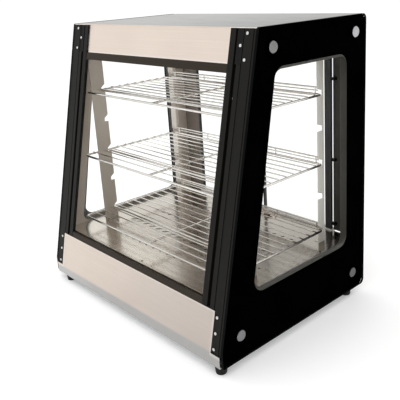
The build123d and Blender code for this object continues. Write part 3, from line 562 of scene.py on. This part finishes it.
OWN = {
    "wire_rack_bottom": low_rack("wire_rack_bottom"),
    "post_head_plate_left": satin_plastic("head_plate_left", (0.0055, 0.0053, 0.0052), rough=0.5, spec=0.08),
    "post_head_plate_right": satin_plastic("head_plate_right", (0.0055, 0.0053, 0.0052), rough=0.5, spec=0.08),
    "post_screws": chrome("post_screws", (0.76, 0.76, 0.75), rough=0.30),
    # painted light: the two rear uprights are the same sheet in two shades; the left one is darker with a painted
    # highlight on its front fold, and the right one is painted light and less metallic to stand in for the light
    # falling on it from the rear
    "rack_upright_rear_left": lined_sheet("upright_rear_left", (0.40, 0.345, 0.295), 0.45, 0.38, 0.366 + DY, 0.370 + DY, (0.86, 0.80, 0.73), 0.75),
    "rack_upright_rear_right": lined_sheet("upright_rear_right", (0.77, 0.755, 0.69), 0.15, 0.40),
    # painted light: the left rear post, seen from inside, gets a lighter front face; the right one is plain dark
    "rear_post_left": two_sided_post("rear_post_left", (0.215, 0.180, 0.155), (0.055, 0.052, 0.047)),
    "rear_post_right": satin_plastic("rear_post_right", (0.055, 0.052, 0.047), rough=0.5, spec=0.12),
    "side_liner_left": cut_liner("side_liner_left", (0.47, 0.415, 0.355), True),
    "side_liner_right": cut_liner("side_liner_right", (0.47, 0.415, 0.355), False),
    "base_tray": tray("base_tray"),
    # painted light: only the left frame, seen from inside, gets the lighter sill; the right one uses the plain dark
    # frame
    "side_frame_left": sill_frame("side_frame_left", (0.050, 0.0475, 0.0415), (0.135, 0.125, 0.103)),
    # painted highlight: the bottom track is made light and only slightly metallic so its end reads as a bright line
    "rear_track_bottom": brushed("rear_track_bottom", (0.86, 0.85, 0.82), rough=0.35, scale=(4.0, 900.0, 900.0), metal=0.25),
}

M["lamp_glass"] = frosted_lamp("lamp_glass")
M["pilot_amber"] = amber("pilot_amber")

# ------------------------------------------------------------------ CAD nodes get their materials and clean shading
for part in frame["record"]["subparts"]:
    o = nodes[part["node"]]
    o.data.materials.clear()
    o.data.materials.append(OWN.get(part["node"], M[part["material_slot"]]))
    o.data.polygons.foreach_set("use_smooth", [True] * len(o.data.polygons))
    weld = o.modifiers.new("weld", "WELD")
    weld.merge_threshold = 0.000002
    split = o.modifiers.new("split", "EDGE_SPLIT")
    split.split_angle = math.radians(28)

# ------------------------------------------------------------------ rear control panel: fasteners, dial and switch marks
BP1 = 0.4284                # outer face of the rear panel, drawing frame
KNOB = (0.150, 0.055)
SWITCHES = ((0.075, 0.055), (0.030, 0.055))


def add_piece(name, bm, material, body, angle=30.0):
    bmesh.ops.recalc_face_normals(bm, faces=bm.faces)
    me = bpy.data.meshes.new(name)
    bm.to_mesh(me)
    bm.free()
    me.polygons.foreach_set("use_smooth", [True] * len(me.polygons))
    o = bpy.data.objects.new(name, me)
    scene.collection.objects.link(o)
    me.materials.append(material)
    split = o.modifiers.new("split", "EDGE_SPLIT")
    split.split_angle = math.radians(angle)
    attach(o, body)
    return o


def cross_head(bm, place, r=0.0029, h=0.0017):
    """Pan head screw with a sunk cross recess; its seat is at the local origin and it points along local +Z."""
    profile = [(r, 0.0), (r, h * 0.45), (r * 0.94, h * 0.72), (r * 0.8, h * 0.92), (r * 0.62, h)]
    n = 28
    rings = []
    for pr, pz in profile:
        rings.append([bm.verts.new(place @ Vector((pr * math.cos(2 * math.pi * i / n), pr * math.sin(2 * math.pi * i / n), pz))) for i in range(n)])
    for a, b in zip(rings, rings[1:]):
        for i in range(n):
            bm.faces.new((a[i], a[(i + 1) % n], b[(i + 1) % n], b[i]))
    bm.faces.new(list(reversed(rings[0])))
    w, l, deep = r * 0.13, r * 0.48, h * 0.5
    plus = [(w, w), (w, l), (-w, l), (-w, w), (-l, w), (-l, -w), (-w, -w), (-w, -l), (w, -l), (w, -w), (l, -w), (l, w)]
    top = [bm.verts.new(place @ Vector((x, y, h))) for x, y in plus]
    low = [bm.verts.new(place @ Vector((x * 0.8, y * 0.8, h - deep))) for x, y in plus]
    m = len(plus)
    edges = [bm.edges.new((top[i], top[(i + 1) % m])) for i in range(m)]
    edges += [bm.edges.get((rings[-1][i], rings[-1][(i + 1) % n])) for i in range(n)]
    bmesh.ops.triangle_fill(bm, use_beauty=True, edges=edges, normal=place.to_3x3() @ Vector((0, 0, 1)))
    for i in range(m):
        bm.faces.new((top[i], top[(i + 1) % m], low[(i + 1) % m], low[i]))
    bm.faces.new(low)


def facing_rear(x, y, z, turn=0.0):
    """Placement whose local +Z points to the rear, +Y up and +X to the left of someone standing behind (drawing frame, metres)."""
    m = Matrix(((-1, 0, 0), (0, 0, 1), (0, 1, 0))).to_4x4()
    m.translation = row(x, y, z)
    return m @ Matrix.Rotation(turn, 4, "Z")


heads = bmesh.new()
for i, (hx, hz) in enumerate(((-0.287, 0.012), (0.287, 0.012), (-0.287, 0.092), (0.287, 0.092), (-0.010, 0.012), (0.215, 0.012), (-0.235, 0.092), (0.0, 0.095))):
    cross_head(heads, facing_rear(hx, BP1 + 0.00002, hz, 0.35 + 1.9 * i))
for i, (hx, hz) in enumerate(((-0.266, 0.140), (0.266, 0.140), (-0.266, 0.355), (0.266, 0.355), (-0.266, 0.570), (0.266, 0.570))):
    cross_head(heads, facing_rear(hx, 0.4400 + 0.00002, hz, 0.8 + 2.3 * i))
for i, hx in enumerate((-0.210, -0.170)):
    cross_head(heads, facing_rear(hx, BP1 + 0.00242, 0.052, 0.4 + i), r=0.0026, h=0.0013)
add_piece("rear_screws", heads, M["zinc"], "case")


def printed(bm, place, outline, thick=0.00012):
    """Closed thin raised print from a flat outline."""
    a = [bm.verts.new(place @ Vector((x, y, 0.00001))) for x, y in outline]
    b = [bm.verts.new(place @ Vector((x, y, thick))) for x, y in outline]
    n = len(outline)
    bm.faces.new(list(reversed(a)))
    bm.faces.new(b)
    for i in range(n):
        bm.faces.new((a[i], a[(i + 1) % n], b[(i + 1) % n], b[i]))


marks = bmesh.new()
for i in range(28):
    a = math.radians(10.0 * i)
    r0, r1, w = (0.0190, 0.0222, 0.00036) if i % 3 == 0 else (0.0190, 0.0207, 0.00022)
    outline = [(-w, r0), (w, r0), (w, r1), (-w, r1)]
    printed(marks, facing_rear(KNOB[0], BP1, KNOB[1]) @ Matrix.Rotation(-a, 4, "Z"), outline)
for sx, sz in SWITCHES:
    # a bar over the upper end and a ring under the lower end of each rocker
    printed(marks, facing_rear(sx, BP1, sz + 0.0195), [(-0.0003, -0.0018), (0.0003, -0.0018), (0.0003, 0.0018), (-0.0003, 0.0018)])
    n = 20
    c = facing_rear(sx, BP1, sz - 0.0195)
    for k in range(n):
        a0, a1 = 2 * math.pi * k / n, 2 * math.pi * (k + 1) / n
        q = [(0.0012 * math.cos(a0), 0.0012 * math.sin(a0)), (0.0018 * math.cos(a0), 0.0018 * math.sin(a0)),
             (0.0018 * math.cos(a1), 0.0018 * math.sin(a1)), (0.0012 * math.cos(a1), 0.0012 * math.sin(a1))]
        printed(marks, c, q)


def numeral(text, place, size):
    cu = bpy.data.curves.new("numeral", "FONT")
    cu.body = text
    cu.size = size
    cu.extrude = 0.00006
    cu.align_x, cu.align_y = "CENTER", "CENTER"
    o = bpy.data.objects.new("numeral", cu)
    scene.collection.objects.link(o)
    bpy.context.view_layer.update()
    me = bpy.data.meshes.new_from_object(o)
    me.transform(place @ Matrix.Translation((0, 0, 0.00007)))
    bpy.data.objects.remove(o)
    bpy.data.curves.remove(cu)
    return me


for i in range(10):
    a = math.radians(30.0 * i)
    place = facing_rear(KNOB[0] - 0.0258 * math.sin(a), BP1, KNOB[1] + 0.0258 * math.cos(a))
    me = numeral(str(i), place, 0.0052)
    marks.from_mesh(me)
    bpy.data.meshes.remove(me)
add_piece("dial_marks", marks, M["black_gloss"], "case")

pointer = bmesh.new()
printed(pointer, facing_rear(KNOB[0], 0.4457, KNOB[1]), [(-0.00052, 0.0043), (0.00052, 0.0043), (0.00052, 0.0156), (-0.00052, 0.0156)], 0.0009)
add_piece("knob_pointer", pointer, M["white_plastic"], "knob")

# ------------------------------------------------------------------ stage and light
def make_stage():
    bm = bmesh.new()
    s = 6.0
    vs = [bm.verts.new((x, y, 0.0)) for x, y in ((-s, -s), (s, -s), (s, s), (-s, s))]
    bm.faces.new(vs)
    me = bpy.data.meshes.new("floor")
    bm.to_mesh(me)
    bm.free()
    floor = bpy.data.objects.new("floor", me)
    scene.collection.objects.link(floor)
    t = Tree("floor")
    n = t.noise(t.mapping((3.0, 3.0, 3.0)), 1.0, 3.0)
    p = t.principled(Base_Color=t.mix(t.span(n, 0.3, 0.7, 0, 1), (0.90, 0.90, 0.90), (0.93, 0.93, 0.93)), Roughness=0.8)
    p.inputs["Emission Color"].default_value = (1, 1, 1, 1)
    p.inputs["Emission Strength"].default_value = 0.16
    me.materials.append(t.surface(p.outputs[0]))

    world = bpy.data.worlds.new("world")
    scene.world = world
    world.use_nodes = True
    nt = world.node_tree
    nt.nodes.clear()
    out = nt.nodes.new("ShaderNodeOutputWorld")
    bg = nt.nodes.new("ShaderNodeBackground")
    bg.inputs["Color"].default_value = (1, 1, 1, 1)
    bg.inputs["Strength"].default_value = 1.05
    nt.links.new(bg.outputs[0], out.inputs[0])


def area(name, loc, target, size, power, color=(1, 1, 1)):
    light = bpy.data.lights.new(name, "AREA")
    light.shape = "RECTANGLE"
    light.size, light.size_y = size
    light.energy = power
    light.color = color
    o = bpy.data.objects.new(name, light)
    o.location = loc
    o.rotation_euler = (Vector(target) - Vector(loc)).to_track_quat("-Z", "Y").to_euler()
    scene.collection.objects.link(o)
    return o


make_stage()
area("softbox", (-0.3, -0.8, 2.6), (0, 0, 0.2), (2.4, 2.4), 14)
